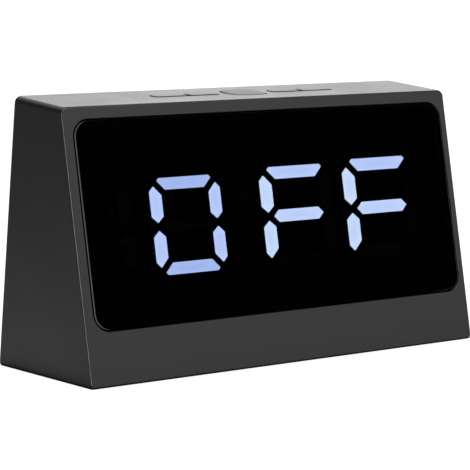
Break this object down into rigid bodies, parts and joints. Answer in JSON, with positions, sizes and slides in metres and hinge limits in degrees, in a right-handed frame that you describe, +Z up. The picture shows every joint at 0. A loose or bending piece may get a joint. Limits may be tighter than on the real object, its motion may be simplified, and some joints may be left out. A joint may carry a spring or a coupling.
{
  "type": "digital mirror alarm clock",
  "caption": "Desk alarm clock with a leaning mirrored front, lit seven-segment digits behind it and press keys along the top.",
  "frame": {"origin": "on the surface that the clock stands on, under the middle of its bounding box", "axes": "+X to the viewer's right when facing the display, +Y from the display to the back, +Z up"},
  "size_m": [0.15, 0.0515, 0.0842],
  "materials": {
    "housing_plastic": "satin dark grey moulded plastic",
    "key_plastic": "satin dark grey moulded plastic",
    "mirror_panel": "glossy black half mirror",
    "adhesive_tape": "matt black foam adhesive",
    "black_plastic": "matt black light-tight plastic",
    "light_guide": "milky resin that glows cool white where lit",
    "circuit_board": "green solder mask",
    "component_plastic": "matt black component bodies",
    "steel": "plated steel",
    "foot_rubber": "matt black rubber",
    "battery_sleeve": "plain grey film sleeve",
    "cable_sleeve": "pale flat cable"
  },
  "bodies": {
    "housing": {"housing_shell": "housing_plastic", "rear_cover": "housing_plastic", "mirror_lens": "mirror_panel", "lens_tape": "adhesive_tape", "display_carrier": "black_plastic", "half_digit_guide": "light_guide", "hour_digit_guide": "light_guide", "minute_tens_digit_guide": "light_guide", "minute_units_digit_guide": "light_guide", "colon_guide": "light_guide", "display_board": "circuit_board", "key_board": "circuit_board", "power_board": "circuit_board", "clock_chip": "component_plastic", "sounder": "component_plastic", "left_outer_switch": "component_plastic", "left_inner_switch": "component_plastic", "snooze_switch": "component_plastic", "right_inner_switch": "component_plastic", "right_outer_switch": "component_plastic", "display_screw_1": "steel", "display_screw_2": "steel", "display_screw_3": "steel", "display_screw_4": "steel", "carrier_screw_1": "steel", "carrier_screw_2": "steel", "key_board_screw_1": "steel", "key_board_screw_2": "steel", "cover_screw_1": "steel", "cover_screw_2": "steel", "cover_screw_3": "steel", "cover_screw_4": "steel", "contact_right_single": "steel", "contact_right_double": "steel", "contact_left_single": "steel", "contact_left_double": "steel", "power_inlet": "steel", "foot_1": "foot_rubber", "foot_2": "foot_rubber", "foot_3": "foot_rubber", "foot_4": "foot_rubber", "battery_cell_1": "battery_sleeve", "battery_cell_2": "battery_sleeve", "battery_cell_3": "battery_sleeve", "key_cable": "cable_sleeve", "power_cable": "cable_sleeve"},
    "left_outer_key": {"left_outer_key": "key_plastic"},
    "left_inner_key": {"left_inner_key": "key_plastic"},
    "snooze_key": {"snooze_key": "key_plastic"},
    "right_inner_key": {"right_inner_key": "key_plastic"},
    "right_outer_key": {"right_outer_key": "key_plastic"},
    "battery_door": {"battery_door": "housing_plastic"}
  },
  "joints": [
    {"name": "left_outer_key_press", "type": "slide", "parent": "housing", "child": "left_outer_key", "axis": [0, 0.0863, -0.9963], "range_m": [0, 0.0003], "stiffness_N_per_m": 500, "springref_m": -0.0005},
    {"name": "left_inner_key_press", "type": "slide", "parent": "housing", "child": "left_inner_key", "axis": [0, 0.0863, -0.9963], "range_m": [0, 0.0003], "stiffness_N_per_m": 500, "springref_m": -0.0005},
    {"name": "snooze_key_press", "type": "slide", "parent": "housing", "child": "snooze_key", "axis": [0, 0.0863, -0.9963], "range_m": [0, 0.0003], "stiffness_N_per_m": 500, "springref_m": -0.0005},
    {"name": "right_inner_key_press", "type": "slide", "parent": "housing", "child": "right_inner_key", "axis": [0, 0.0863, -0.9963], "range_m": [0, 0.0003], "stiffness_N_per_m": 500, "springref_m": -0.0005},
    {"name": "right_outer_key_press", "type": "slide", "parent": "housing", "child": "right_outer_key", "axis": [0, 0.0863, -0.9963], "range_m": [0, 0.0003], "stiffness_N_per_m": 500, "springref_m": -0.0005},
    {"name": "battery_door_pull", "type": "slide", "parent": "housing", "child": "battery_door", "axis": [0, 0.9914, 0.1306], "range_m": [0, 0.02]}
  ]
}
